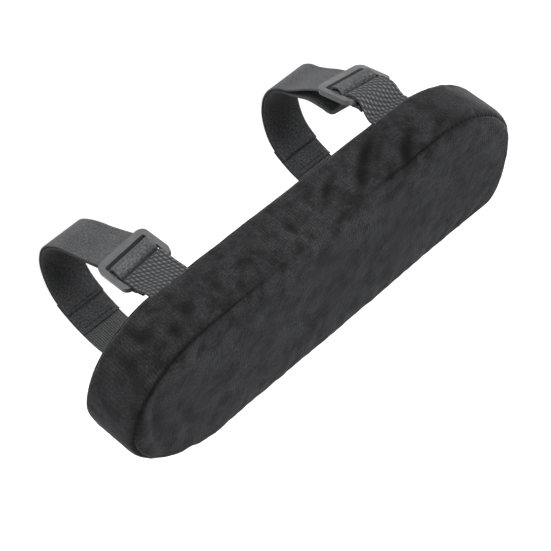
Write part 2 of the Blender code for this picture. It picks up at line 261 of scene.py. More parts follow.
def noise_of(tree, vector, scale, detail=2.0):
    made = add(tree, "ShaderNodeTexNoise", Vector=vector, Scale=scale, Detail=detail)
    return made.outputs[0]


def ramp_of(tree, value, *stops):
    """Colours along a value, as (position, grey or colour)."""
    made = add(tree, "ShaderNodeValToRGB", Fac=value)
    elements = made.color_ramp.elements
    while len(elements) < len(stops):
        elements.new(0.5)
    for element, (position, colour) in zip(elements, stops):
        element.position = position
        element.color = (colour, colour, colour, 1) if isinstance(colour, float) else (*colour, 1)
    return made.outputs[0]


def mix_of(tree, factor, a, b, blend="MIX"):
    made = tree.nodes.new("ShaderNodeMix")
    made.data_type = "RGBA"
    made.blend_type = blend
    for socket, value in ((0, factor), (6, a), (7, b)):
        if isinstance(value, bpy.types.NodeSocket):
            tree.links.new(value, made.inputs[socket])
        else:
            made.inputs[socket].default_value = value if socket == 0 else (*value, 1)
    return made.outputs[2]


def bump_of(tree, height, distance, strength=1.0, normal=None):
    made = add(tree, "ShaderNodeBump", Height=height, Distance=distance, Strength=strength)
    if normal is not None:
        tree.links.new(normal, made.inputs["Normal"])
    return made.outputs[0]


def finish_material(tree, shader, colour=None, roughness=None, normal=None):
    for name, value in (("Base Color", colour), ("Roughness", roughness), ("Normal", normal)):
        if value is not None:
            tree.links.new(value, shader.inputs[name])


def sheen(shader, weight, roughness, tint):
    shader.inputs["Sheen Weight"].default_value = weight
    shader.inputs["Sheen Roughness"].default_value = roughness
    shader.inputs["Sheen Tint"].default_value = (*tint, 1)


# ---------------------------------------------------------------- materials

def velour_material():
    """Short black pile: brushed patches, faint streaks across the pad and the knit's fine ribs, with
    painted shade in the seam grooves and creases.
    """
    material, tree, shader = start("velour", (0.02, 0.02, 0.021), 0.95)
    patches = noise_of(tree, place_of(tree, (0.7, 1, 1)), 42, 4)
    mottle = noise_of(tree, place_of(tree), 120, 5)
    streaks = noise_of(tree, place_of(tree, (1, 0.2, 0.2)), 520, 2)
    pile = noise_of(tree, place_of(tree), 1050, 3)
    base = ramp_of(tree, patches, (0.34, (0.0155, 0.0155, 0.0166)), (0.66, (0.0235, 0.0235, 0.0248)))
    mottled = ramp_of(tree, mottle, (0.37, 0.52), (0.56, 1.18))
    streaked = ramp_of(tree, streaks, (0.3, 0.95), (0.7, 1.05))
    flecks = ramp_of(tree, pile, (0.28, 0.45), (0.74, 1.7))
    colour = mix_of(tree, 1.0, base, mottled, "MULTIPLY")
    colour = mix_of(tree, 1.0, colour, streaked, "MULTIPLY")
    colour = mix_of(tree, 1.0, colour, flecks, "MULTIPLY")
    # Painted shade: the colour darkens along the seam grooves and in the band's creases.
    seam_and_crease_shade = ramp_of(tree, value_of(tree, "seam_and_crease_shade"), (0.0, 1.0), (0.45, 0.5), (1.0, 0.12))
    colour = mix_of(tree, 1.0, colour, seam_and_crease_shade, "MULTIPLY")
    along = add(tree, "ShaderNodeSeparateXYZ", Vector=place_of(tree)).outputs[0]
    ribs = math_of(tree, "SINE", math_of(tree, "MULTIPLY", along, 2 * math.pi / (1.5 * MM)))
    shown = ramp_of(tree, patches, (0.42, 0.1), (0.6, 1.0))
    ribs = math_of(tree, "MULTIPLY", ribs, shown)
    ribbed = ramp_of(tree, half_up(tree, ribs), (0.0, 0.84), (1.0, 1.16))
    colour = mix_of(tree, 1.0, colour, ribbed, "MULTIPLY")
    normal = bump_of(tree, ribs, 0.06 * MM, 0.6)
    normal = bump_of(tree, mottle, 1.8 * MM, 0.35, normal)
    normal = bump_of(tree, pile, 0.45 * MM, 0.75, normal)
    sheen(shader, 0.26, 0.42, (0.75, 0.76, 0.8))
    shader.inputs["Specular IOR Level"].default_value = 0.15
    finish_material(tree, shader, colour, None, normal)
    return material


def webbing_material():
    """Coarse webbing, with painted highlights on its raised yarns and painted shade between them."""
    material, tree, shader = start("webbing", (0.05, 0.05, 0.05), 0.7)
    fibres = noise_of(tree, strap_of(tree, (0.5, 1, 1)), 1500, 3)
    # Painted light: the colour runs from dark between the yarns to light on their crests.
    yarn_and_shade = ramp_of(
        tree, value_of(tree, "weave_and_shade"),
        (0.0, (0.007, 0.007, 0.008)), (0.5, (0.034, 0.035, 0.037)), (1.0, (0.165, 0.167, 0.171)),
    )
    tone = ramp_of(tree, fibres, (0.3, 0.65), (0.7, 1.3))
    colour = mix_of(tree, 1.0, yarn_and_shade, tone, "MULTIPLY")
    normal = bump_of(tree, fibres, 0.12 * MM, 0.7)
    sheen(shader, 0.12, 0.5, (0.9, 0.9, 0.95))
    shader.inputs["Specular IOR Level"].default_value = 0.35
    finish_material(tree, shader, colour, None, normal)
    return material


def elastic_material():
    """Close-knit elastic: fine ribs along it, faint picks across it, and a lighter stripe just inside
    each edge, darker at the edge itself.
    """
    material, tree, shader = start("elastic", (0.045, 0.046, 0.049), 0.78)
    split = add(tree, "ShaderNodeSeparateXYZ", Vector=strap_of(tree))
    along, across = split.outputs[0], split.outputs[1]
    ribs = math_of(tree, "SINE", math_of(tree, "MULTIPLY", across, 2 * math.pi / (1.6 * MM)))
    picks = math_of(tree, "SINE", math_of(tree, "MULTIPLY", along, 2 * math.pi / (1.3 * MM)))
    knit = math_of(tree, "MULTIPLY", ribs, 0.3)
    knit = math_of(tree, "ADD", knit, math_of(tree, "MULTIPLY", picks, 0.25))
    fuzz = noise_of(tree, strap_of(tree, (1, 0.6, 1)), 1150, 3)
    worn = noise_of(tree, strap_of(tree), 90, 3)
    base = ramp_of(tree, worn, (0.3, (0.066, 0.067, 0.070)), (0.7, (0.094, 0.095, 0.099)))
    tone = ramp_of(tree, fuzz, (0.30, 0.4), (0.72, 1.65))
    lines = ramp_of(tree, half_up(tree, knit), (0.2, 0.84), (0.8, 1.12))
    inner = math_of(tree, "ABSOLUTE", across)
    edge = ramp_of(
        tree, math_of(tree, "MULTIPLY", inner, 2 / STRAP_WIDTH),
        (0.90, 1.0), (0.955, 1.35), (0.985, 0.8), (1.0, 0.35))
    colour = mix_of(tree, 1.0, base, tone, "MULTIPLY")
    colour = mix_of(tree, 1.0, colour, lines, "MULTIPLY")
    colour = mix_of(tree, 1.0, colour, edge, "MULTIPLY")
    normal = bump_of(tree, knit, 0.05 * MM, 0.7)
    normal = bump_of(tree, fuzz, 0.10 * MM, 0.7, normal)
    sheen(shader, 0.15, 0.5, (0.85, 0.86, 0.9))
    shader.inputs["Specular IOR Level"].default_value = 0.25
    finish_material(tree, shader, colour, None, normal)
    return material


def plastic_material():
    """Moulded plastic with a fine spark-eroded grain, rubbed smoother in places."""
    material, tree, shader = start("buckle_plastic", (0.085, 0.087, 0.09), 0.4)
    grain = noise_of(tree, place_of(tree), 3200, 2)
    rub = noise_of(tree, place_of(tree), 160, 3)
    colour = ramp_of(tree, rub, (0.3, (0.078, 0.080, 0.083)), (0.7, (0.108, 0.110, 0.114)))
    roughness = ramp_of(tree, rub, (0.3, 0.46), (0.7, 0.32))
    normal = bump_of(tree, grain, 0.05 * MM, 0.5)
    finish_material(tree, shader, colour, roughness, normal)
    return material


def thread_material(name, colour):
    """Twisted sewing thread."""
    material, tree, shader = start(name, colour, 0.6)
    ply = noise_of(tree, place_of(tree, (1, 1, 0.4)), 5200, 1)
    dark = tuple(0.5 * c for c in colour)
    light = tuple(1.6 * c for c in colour)
    tone = ramp_of(tree, ply, (0.3, dark), (0.7, light))
    sheen(shader, 0.2, 0.4, (0.9, 0.9, 0.9))
    finish_material(tree, shader, tone, None, bump_of(tree, ply, 0.1 * MM, 0.8))
    return material


def tape_material():
    """Tightly woven zip tape with a herringbone-like twill."""
    material, tree, shader = start("zip_tape", (0.02, 0.02, 0.021), 0.8)
    split = add(tree, "ShaderNodeSeparateXYZ", Vector=place_of(tree))
    slant = math_of(tree, "ADD", split.outputs[0], split.outputs[2])
    twill = math_of(tree, "SINE", math_of(tree, "MULTIPLY", slant, 2 * math.pi / (0.9 * MM)))
    colour = ramp_of(
        tree, half_up(tree, twill), (0.0, (0.013, 0.013, 0.014)), (1.0, (0.035, 0.035, 0.037)))
    sheen(shader, 0.1, 0.5, (0.9, 0.9, 0.9))
    finish_material(tree, shader, colour, None, bump_of(tree, twill, 0.08 * MM, 0.6))
    return material


def coil_material():
    """Drawn nylon monofilament."""
    material, tree, shader = start("zip_coil", (0.02, 0.02, 0.022), 0.35)
    drawn = noise_of(tree, place_of(tree), 900, 2)
    roughness = ramp_of(tree, drawn, (0.3, 0.26), (0.7, 0.45))
    colour = ramp_of(tree, drawn, (0.3, (0.016, 0.016, 0.018)), (0.7, (0.028, 0.028, 0.03)))
    finish_material(tree, shader, colour, roughness, bump_of(tree, drawn, 0.05 * MM, 0.4))
    return material


def enamel_material():
    """Black enamel over cast zinc, worn thin in spots."""
    material, tree, shader = start("zip_metal", (0.04, 0.04, 0.042), 0.32)
    shader.inputs["Metallic"].default_value = 0.6
    wear = noise_of(tree, place_of(tree), 420, 4)
    colour = ramp_of(tree, wear, (0.55, (0.035, 0.035, 0.037)), (0.74, (0.16, 0.16, 0.165)))
    roughness = ramp_of(tree, wear, (0.3, 0.28), (0.7, 0.44))
    finish_material(tree, shader, colour, roughness, bump_of(tree, wear, 0.06 * MM, 0.3))
    return material


def foam_material():
    """Open-cell foam: a cream skin, with painted shade in its fine pores."""
    material, tree, shader = start("foam", (0.62, 0.6, 0.52), 0.95)
    cells = add(tree, "ShaderNodeTexVoronoi", Vector=place_of(tree), Scale=1100.0).outputs[0]
    # Painted shade: the colour darkens in the pores.
    colour = ramp_of(tree, cells, (0.05, (0.36, 0.34, 0.28)), (0.35, (0.66, 0.64, 0.56)))
    finish_material(tree, shader, colour, None, bump_of(tree, cells, 0.4 * MM, 0.7))
    return material


VELOUR = velour_material()
WEB = webbing_material()
KNIT = elastic_material()
PLASTIC = plastic_material()
THREAD = thread_material("thread", (0.014, 0.014, 0.015))
TAPE = tape_material()
COIL = coil_material()
ENAMEL = enamel_material()
FOAM = foam_material()


def dress(obj, material):
    obj.data.materials.clear()
    obj.data.materials.append(material)
    return obj


# ---------------------------------------------------------------- pad surface

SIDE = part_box("cover_side_band")
HALF_LENGTH = SIDE[1].x
HALF_WIDTH = SIDE[1].y
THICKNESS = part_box("cover_top_panel")[1].z


def dense_outline():
    """The pad's outline seen from above, with a superellipse quarter at each corner."""
    rows = []
    for quarter, (sx, sy) in enumerate(((1, 1), (-1, 1), (-1, -1), (1, -1))):
        reach = CORNER_REACH[sx, sy]
        angle = (quarter + np.linspace(0, 1, 400, endpoint=False)) * math.pi / 2
        along = np.abs(np.cos(angle)) ** (2 / CORNER_POWER)
        across = np.abs(np.sin(angle)) ** (2 / CORNER_POWER)
        x = sx * (HALF_LENGTH - reach + reach * along)
        rows.append(np.column_stack((x, sy * HALF_WIDTH * across)))
    return np.vstack(rows)


def even_outline(count):
    """Evenly spaced points round the outline, and the outward direction at each."""
    dense = dense_outline()
    closed = np.vstack((dense, dense[:1]))
    run = np.concatenate(([0], np.cumsum(np.linalg.norm(np.diff(closed, axis=0), axis=1))))
    place = np.linspace(0, run[-1], count, endpoint=False)
    points = np.column_stack([np.interp(place, run, closed[:, axis]) for axis in (0, 1)])
    ahead = np.roll(points, -1, axis=0) - np.roll(points, 1, axis=0)
    out = np.column_stack((ahead[:, 1], -ahead[:, 0]))
    out = np.roll(out, 1, axis=0) + 2 * out + np.roll(out, -1, axis=0)
    return points, out / np.linalg.norm(out, axis=1)[:, None]


def face_grid(rim, columns, rows):
    """Points inside a closed rim, laid out as a grid that meets the rim all round."""
    count = len(rim)
    i = np.arange(columns + 1)
    j = np.arange(rows + 1)
    half = rows // 2
    right = rim[(j - half) % count]
    left = rim[(half + columns + rows - j) % count]
    high = rim[(half + i) % count]
    low = rim[(-half - i) % count]
    u = (i / columns)[:, None, None]
    v = (j / rows)[None, :, None]
    grid = (1 - v) * low[:, None] + v * high[:, None] + (1 - u) * right[None] + u * left[None]
    grid -= (1 - u) * ((1 - v) * right[0] + v * right[-1]) + u * ((1 - v) * left[0] + v * left[-1])
    for _ in range(80):
        inner = grid[:-2, 1:-1] + grid[2:, 1:-1] + grid[1:-1, :-2] + grid[1:-1, 2:]
        grid[1:-1, 1:-1] = inner / 4
    return grid


def grid_ids(ring, columns, rows, first):
    """The number of each grid point, where those on the rim belong to a ring."""
    count = len(ring)
    half = rows // 2
    i = np.arange(columns + 1)
    j = np.arange(rows + 1)
    ids = np.zeros((columns + 1, rows + 1), int)
    ids[0, :] = ring[(j - half) % count]
    ids[columns, :] = ring[(half + columns + rows - j) % count]
    ids[:, rows] = ring[(half + i) % count]
    ids[:, 0] = ring[(-half - i) % count]
    ids[1:-1, 1:-1] = first + np.arange((columns - 1) * (rows - 1)).reshape(columns - 1, rows - 1)
    return ids


def edge_profile(inset, low, high, radius, steps, levels):
    """(inset, height) down the side, from the upper face's rim to the lower face's rim."""
    profile = []
    for step in range(steps + 1):
        angle = math.radians(90) * (1 - step / steps)
        profile.append((inset + radius * (1 - math.cos(angle)), high - radius * (1 - math.sin(angle))))
    profile += [(inset, level) for level in levels]
    for step in range(steps + 1):
        angle = math.radians(90) * step / steps
        profile.append((inset + radius * (1 - math.cos(angle)), low + radius * (1 - math.sin(angle))))
    return profile


def thickness_at(x):
    """The pad is a little thicker at its -X end than at the other."""
    return 1 - TAPER * x / HALF_LENGTH


def padded_block(name, profile, columns, rows):
    """A closed block with the pad's outline, a grid on each face and rings round the side."""
    count = 2 * (columns + rows)
    outline, out = even_outline(count)
    points = []
    faces = []
    for inset, height in profile:
        ring = outline - out * inset
        points.append(np.column_stack((ring, np.full(count, height))))
    for level in range(len(profile) - 1):
        for k in range(count):
            after = (k + 1) % count
            upper = level * count
            lower = upper + count
            faces.append((upper + k, lower + k, lower + after, upper + after))
    first = len(profile) * count
    for level, turned in ((0, False), (len(profile) - 1, True)):
        grid = face_grid(points[level][:, :2], columns, rows)
        inner = grid[1:-1, 1:-1].reshape(-1, 2)
        points.append(np.column_stack((inner, np.full(len(inner), profile[level][1]))))
        ring = level * count + np.arange(count)
        ids = grid_ids(ring, columns, rows, first)
        first += len(inner)
        for i in range(columns):
            for j in range(rows):
                face = (ids[i, j], ids[i, j + 1], ids[i + 1, j + 1], ids[i + 1, j])
                faces.append(face[::-1] if turned else face)
    points = np.vstack(points)
    points[:, 2] *= thickness_at(points[:, 0])
    return mesh_object(name, points, [tuple(int(k) for k in face) for face in faces])


# ---------------------------------------------------------------- cover

ARC_STEPS = 6
SIDE_LEVELS = [
    level * MM for level in (27.2, 24.8, 22.4, 21.6, 19.3, 17.0, 14.7, 12.4, 11.6, 9.5, 7.5)
]
STITCH_PITCH = 3.4 * MM
SWELL_FRAMES = 20


def tag_panels(cover, profile, count):
    """Mark each face's panel, and each point's way along the profile from either seam."""
    seam = ARC_STEPS // 2
    low_seam = len(profile) - 1 - seam
    steps = np.linalg.norm(np.diff(np.array(profile), axis=0), axis=1)
    run = np.concatenate(([0], np.cumsum(steps)))
    total = len(cover.data.vertices)
    far = 30 * MM
    for name, level in (("from_top_seam", seam), ("from_bottom_seam", low_seam)):
        values = np.full(total, far)
        values[:len(profile) * count] = np.repeat(run - run[level], count)
        add_values(cover.data, name, values)
    rings = len(profile) - 1
    per_face = COLUMNS * ROWS
    tags = [0] * (seam * count) + [1] * ((low_seam - seam) * count)
    tags += [2] * ((rings - low_seam) * count) + [0] * per_face + [2] * per_face
    panel = cover.data.attributes.new("panel", "INT", "FACE")
    panel.data.foreach_set("value", tags)


def pin(cover):
    """Hold the seams, the underside and the zip's edges while the panels swell."""
    points = get_points(cover.data)
    near_seam = np.abs(get_values(cover.data, "from_top_seam")) < 0.5 * MM
    low = points[:, 2] < 2.2 * MM
    zip_side = (points[:, 1] < -0.9 * HALF_WIDTH) & (np.abs(points[:, 2] - ZIP_MIDDLE) < 7 * MM)
    group = cover.vertex_groups.new(name="pinned")
    group.add([int(k) for k in np.flatnonzero(near_seam | low | zip_side)], 1.0, "REPLACE")


def swell(cover):
    """Puff the cover's panels out between the seams by cloth simulation."""
    rest = get_points(cover.data)
    pin(cover)
    modifier = cover.modifiers.new("Cloth", "CLOTH")
    settings = modifier.settings
    settings.vertex_group_mass = "pinned"
    settings.quality = 5
    settings.mass = 0.3
    settings.tension_stiffness = 14
    settings.compression_stiffness = 14
    settings.shear_stiffness = 6
    settings.bending_stiffness = 0.4
    settings.shrink_min = -0.012
    settings.use_pressure = True
    settings.uniform_pressure_force = 4
    settings.effector_weights.gravity = 0
    modifier.point_cache.frame_start = 1
    modifier.point_cache.frame_end = SWELL_FRAMES
    for number in range(1, SWELL_FRAMES + 1):
        bpy.context.scene.frame_set(number)
    graph = bpy.context.evaluated_depsgraph_get()
    moved = get_points(cover.evaluated_get(graph).data)
    cover.modifiers.remove(modifier)
    bpy.context.scene.frame_set(1)
    shift = moved - rest
    length = np.linalg.norm(shift, axis=1)[:, None] + 1e-9
    set_points(cover.data, rest + shift / length * CROWN_CAP * np.tanh(length / CROWN_CAP))


def refine(cover):
    modifier = cover.modifiers.new("Subdivision", "SUBSURF")
    modifier.levels = 1
    modifier.render_levels = 1
    apply_modifiers(cover)


def dimples(points):
    """How strongly the seam's stitches pull at each point, from 0 to 1."""
    dense = dense_outline()
    run = np.concatenate(([0], np.cumsum(np.linalg.norm(np.diff(dense, axis=0), axis=1))))
    tree = kdtree.KDTree(len(dense))
    for number, (x, y) in enumerate(dense):
        tree.insert((x, y, 0), number)
    tree.balance()
    place = np.array([run[tree.find((p[0], p[1], 0))[1]] for p in points])
    return 0.5 + 0.5 * np.cos(2 * math.pi * place / STITCH_PITCH)


# Creases pressed into the side band at +Y: x, z, slant in degrees, half length, half width and
# depth, in millimetres
CREASES = (
    (43, 17, 145, 17, 2.7, 2.3),
    (52, 18, 144, 12, 1.6, 1.0),
    (64, 25, 143, 10, 2.5, 2.0),
    (16, 18.5, 140, 6, 2.3, 1.4),
    (-10, 20.6, 104, 5, 2.4, 0.8),
    (85.5, 26.5, 160, 8, 2.2, 0.9),
    (-58, 21.5, 100, 4, 3.0, 0.9),
    (-78, 23.8, 120, 5, 3.0, 1.0),
    (-88, 26, 92, 5, 2.6, 1.1),
    (-100.6, 13.4, 85, 8, 2.8, 1.2),
    (-112, 18, 95, 9, 2.6, 1.0),
)


def crease_depth(points):
    """How deep the creases press into the side band, in metres."""
    facing = smoothstep(points[:, 1], 0.35 * HALF_WIDTH, 0.6 * HALF_WIDTH)
    total = np.zeros(len(points))
    for x, z, slant, half_length, half_width, depth in CREASES:
        cosine = math.cos(math.radians(slant))
        sine = math.sin(math.radians(slant))
        dx = points[:, 0] / MM - x
        dz = points[:, 2] / MM - z
        along = dx * cosine + dz * sine
        across = -dx * sine + dz * cosine + 0.004 * along ** 2
        total += depth * MM * np.exp(-((along / half_length) ** 2) - (across / half_width) ** 2)
    return total * facing


def shape_details(cover):
    """Press in the seams, creases and zip slot, roughen the pile's surface, and store the painted
    shade of the seam grooves and creases.
    """
    mesh = cover.data
    points = get_points(mesh)
    normals = get_normals(mesh)
    top = get_values(mesh, "from_top_seam")
    bottom = get_values(mesh, "from_bottom_seam")
    ends = smoothstep(-points[:, 0], 20 * MM, 75 * MM) + smoothstep(points[:, 0], 30 * MM, 60 * MM)
    near = (np.abs(top) < 5 * MM) | (np.abs(bottom) < 5 * MM)
    pull = np.zeros(len(points))
    pull[near] = dimples(points[near])
    groove = np.exp(-((top / (0.9 * MM)) ** 2)) * (0.1 + 0.9 * ends)
    groove += 0.8 * np.exp(-((bottom / (1.0 * MM)) ** 2))
    wide = np.exp(-((top / (3.2 * MM)) ** 2)) * (0.2 + 0.8 * ends)
    creases = crease_depth(points)
    depth = groove * MM * (0.8 + 0.5 * pull) + 0.4 * MM * wide + 0.7 * creases
    band = np.exp(-(((points[:, 2] - 0.5 * THICKNESS) / (0.42 * THICKNESS)) ** 2))
    soft = 0.45 * cloud(points, 34 * MM, 3) + 0.28 * cloud(points, 13 * MM, 11)
    fine = 0.12 * cloud(points, 5 * MM, 23)
    level = 1 - smoothstep(0.6 * MM - points[:, 2], 0, 1.0 * MM)
    depth -= (soft * (0.45 + 0.75 * band) + fine) * MM * level
    points = points - normals * depth[:, None]
    cut_zip_slot(points)
    set_points(mesh, points)
    # How much painted shade the seam grooves and creases get, from 0 to 1.
    seam_and_crease_shade = np.clip(groove * (0.75 + 0.5 * pull) + 0.2 * wide + creases / (1.4 * MM), 0, 1)
    add_values(mesh, "seam_and_crease_shade", seam_and_crease_shade)


def cut_zip_slot(points):
    """Turn the band in along the zip, so that its tapes and coil lie in a slot."""
    start_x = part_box("zip_open_stop")[0].x - 2 * MM
    end_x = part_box("zip_closed_stop")[1].x + 1 * MM
    height = np.abs(points[:, 2] / thickness_at(points[:, 0]) - ZIP_MIDDLE)
    share = 1 - smoothstep(height, *ZIP_LIP)
    share *= smoothstep(points[:, 0], start_x - 1 * MM, start_x)
    share *= 1 - smoothstep(points[:, 0], end_x, end_x + 1 * MM)
    share *= points[:, 1] < -0.8 * HALF_WIDTH
    points[:, 1] += share * (ZIP_FLOOR - points[:, 1])


def split_panel(cover, name, tag):
    """One panel of the cover as its own shell of cloth."""
    mesh = cover.data.copy()
    work = bmesh.new()
    work.from_mesh(mesh)
    layer = work.faces.layers.int["panel"]
    others = [face for face in work.faces if face[layer] != tag]
    bmesh.ops.delete(work, geom=others, context="FACES")
    work.to_mesh(mesh)
    work.free()
    panel = new_object(name, mesh)
    modifier = panel.modifiers.new("Thickness", "SOLIDIFY")
    modifier.thickness = CLOTH
    modifier.offset = -1
    apply_modifiers(panel)
    panel.data.set_sharp_from_angle(angle=math.radians(60))
    return panel


def make_cover():
    profile = edge_profile(0, 0, THICKNESS, EDGE_RADIUS, ARC_STEPS, SIDE_LEVELS)
    cover = padded_block("cover", profile, COLUMNS, ROWS)
    tag_panels(cover, profile, 2 * (COLUMNS + ROWS))
    swell(cover)
    refine(cover)
    shape_details(cover)
    for number, (name, node) in enumerate((
        ("cover_top", "cover_top_panel"),
        ("cover_band", "cover_side_band"),
        ("cover_bottom", "cover_bottom_panel"),
    )):
        panel = split_panel(cover, name, number)
        dress(panel, VELOUR)
        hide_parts(node)
        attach(panel, "pad")
        press_down(panel)
    bpy.data.objects.remove(cover, do_unlink=True)


def press_down(piece):
    """Give the piece its own copy of its mesh."""
    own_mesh(piece)


def make_foam():
    low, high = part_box("foam_core")
    levels = [low.z + 8 * MM, (low.z + high.z) / 2, high.z - 8 * MM]
    profile = edge_profile(6.2 * MM, low.z + 0.4 * MM, high.z - 0.8 * MM, 5 * MM, 4, levels[::-1])
    foam = padded_block("foam_block", profile, 52, 16)
    dress(foam, FOAM)
    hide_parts("foam_core")
    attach(foam, "pad")
    press_down(foam)


# ---------------------------------------------------------------- strap paths

def yz(*pairs):
    return [Vector((y * MM, z * MM)) for y, z in pairs]


def catmull(points, steps=6):
    """Points along a Catmull-Rom curve through the given points."""
    ends = [2 * points[0] - points[1], *points, 2 * points[-1] - points[-2]]
    out = []
    for a, b, c, d in zip(ends, ends[1:], ends[2:], ends[3:]):
        for step in range(steps):
            t = step / steps
            curve = 2 * b + (c - a) * t + (2 * a - 5 * b + 4 * c - d) * t * t
            out.append((curve + (3 * b - a - 3 * c + d) * t * t * t) / 2)
    return [*out, points[-1]]


def left_of(path):
    out = []
    for index in range(len(path)):
        ahead = path[min(index + 1, len(path) - 1)] - path[max(index - 1, 0)]
        out.append(Vector((-ahead.y, ahead.x)).normalized())
    return out


def on_buckle(loop, *pairs):
    """Places given as (u, v) in millimetres on the buckle, as points across the pad."""
    tilt = math.radians(loop["tilt"])
    u_axis = Vector((-math.sin(tilt), -math.cos(tilt)))
    v_axis = Vector((math.cos(tilt), -math.sin(tilt)))
    centre = Vector(loop["centre"])
    return [(centre + u_axis * u + v_axis * v) * MM for u, v in pairs]


def deepen(points, drop):
    """Scale a loop's depth below the level where its bend begins."""
    out = []
    for point in points:
        z = point.y
        if z < BEND_TOP:
            z = BEND_TOP + (z - BEND_TOP) * drop
        out.append(Vector((point.x, z)))
    return out


def elastic_path(loop):
    """The elastic round the bend, through the buckle, and back as the tail inside the loop."""
    bend = deepen(yz(
        (-52.4, -66.2), (-51.9, -69.0), (-49.6, -75.6), (-46.4, -82.2), (-41.8, -87.6),
        (-35.4, -91.2), (-26.5, -93.2), (-17.0, -93.2), (-6.3, -90.2), (3.8, -83.9),
        (11.3, -75.0), (15.6, -66.6), *loop["rise"],
    ), loop["drop"])
    hump = loop["hump"]
    threaded = on_buckle(
        loop,
        (14, -3.0), (11, -2.6), (8.4, -2.6), (6.2, -1.6), (4.9, -0.2), (3.9, 1.3),
        (2.7, 2.7 + 0.4 * hump), (0.2, 3.0 + hump), (-2.1, 2.6 + 0.4 * hump),
        (-3.1, 1.2), (-3.3, -0.5), (-3.3, -2.2), *loop["tail"],
    )
    main = catmull(bend + threaded[:1], 5)
    tail = []
    travelled = 0
    sides = left_of(main)
    for index in range(len(main) - 1, 0, -1):
        if main[index].x < TAIL_END_Y:
            break
        slack = max(0.0, 1 - travelled / loop["fade"]) ** 2 * loop["slack"]
        if travelled >= loop["clear"]:
            tail.append(main[index] + sides[index] * (LAYER_STEP + slack))
        travelled += (main[index] - main[index - 1]).length
    path = catmull(bend + threaded)
    return path[:-1] + catmull([path[-1], *tail[::4], tail[-1]], 4)[1:], main


def upper_path(loop):
    y, top = STRAP_ROOT
    root = [Vector((y, top)), Vector((y, 1.5 * MM)), Vector((y - 0.3 * MM, -1.5 * MM))]
    return catmull(root + on_buckle(
        loop,
        (-17, loop["neck"]), (-13.6, 2.2), (-10, 2.6), (-7.7, 2.2), (-6.5, 0.7), (-6.5, -0.8),
        (-7.7, -2.3), (-10, -2.7), *loop["fold_back"],
    ))


def lower_path(loop):
    y = STRAP_ROOT[0]
    root = [Vector((-y, 2.4 * MM)), Vector((-y, 0.8 * MM)), Vector((-y - 0.5 * MM, -4.0 * MM))]
    return catmull(deepen(root + yz(
        (-43.0, -14.0), (-48.6, -27.0), (-53.0, -41.0), (-54.9, -54.0), (-54.4, -64.0),
        (-52.1, -73.5), (-48.2, -82.0), (-45.3, -86.4),
    ), loop["drop"]))


def even_path(path, step):
    """The path's points at even steps, with how far along each one is."""
    dense = np.array([tuple(p) for p in path])
    run = np.concatenate(([0], np.cumsum(np.linalg.norm(np.diff(dense, axis=0), axis=1))))
    along = np.linspace(0, run[-1], max(4, int(run[-1] / step)))
    points = np.column_stack([np.interp(along, run, dense[:, axis]) for axis in (0, 1)])
    ahead = np.gradient(points, axis=0)
    left = np.column_stack((-ahead[:, 1], ahead[:, 0]))
    left[1:-1] = left[:-2] + 2 * left[1:-1] + left[2:]
    return points, left / np.linalg.norm(left, axis=1)[:, None], along


# ---------------------------------------------------------------- strap meshes

def plain_face(along, across):
    """The elastic's slight lengthwise ribs, as height and as a stored value, which the elastic's
    material does not read.
    """
    rib = 0.5 + 0.5 * np.cos(2 * math.pi * across / (2.0 * MM))
    return 0.04 * MM * rib, rib


def weave_and_shade(along, across, wide, long, slant):
    """Yarns that show as seeds, whose value also sets their painted highlight and shade: each column
    is half a step on from the last, and slants.
    """
    column = (across + STRAP_WIDTH / 2) / wide
    shift = np.floor(column) % 2 * 0.5
    step = along / long + shift + slant * (column % 1)
    seed = np.abs(np.sin(math.pi * (column % 1))) ** 0.9
    yarn_and_shade = np.abs(np.sin(math.pi * step)) ** 0.75
    return seed * yarn_and_shade


def woven_face(along, across):
    """Coarse webbing."""
    value = weave_and_shade(along, across, 1.86 * MM, 2.9 * MM, 0.8)
    return 0.42 * MM * (value - 0.45), value


def fine_face(along, across):
    """The webbing's second strap, woven closer, with its value raised as painted light on the leg,
    which hangs in shade.
    """
    value = weave_and_shade(along, across, 1.21 * MM, 1.5 * MM, 0.3)
    # Painted light: the raised value makes the shaded leg look lit.
    return 0.22 * MM * (value - 0.45), 0.42 + 0.8 * value


def strap_faces(rows, ring, columns):
    """Faces between the rings of a strap, and those that close its two ends."""
    faces = []
    for row in range(rows - 1):
        here = row * ring
        ahead = here + ring
        for k in range(ring):
            after = (k + 1) % ring
            faces.append((here + k, here + after, ahead + after, ahead + k))
    for first in (0, (rows - 1) * ring):
        for k in range(columns):
            cap = (k, k + 1, (ring - k - 1) % ring, (ring - k) % ring)
            faces.append(tuple(dict.fromkeys(first + corner for corner in cap)))
    return faces


def turn_outward(mesh):
    work = bmesh.new()
    work.from_mesh(mesh)
    bmesh.ops.recalc_face_normals(work, faces=work.faces)
    work.to_mesh(mesh)
    work.free()
    mesh.shade_smooth()


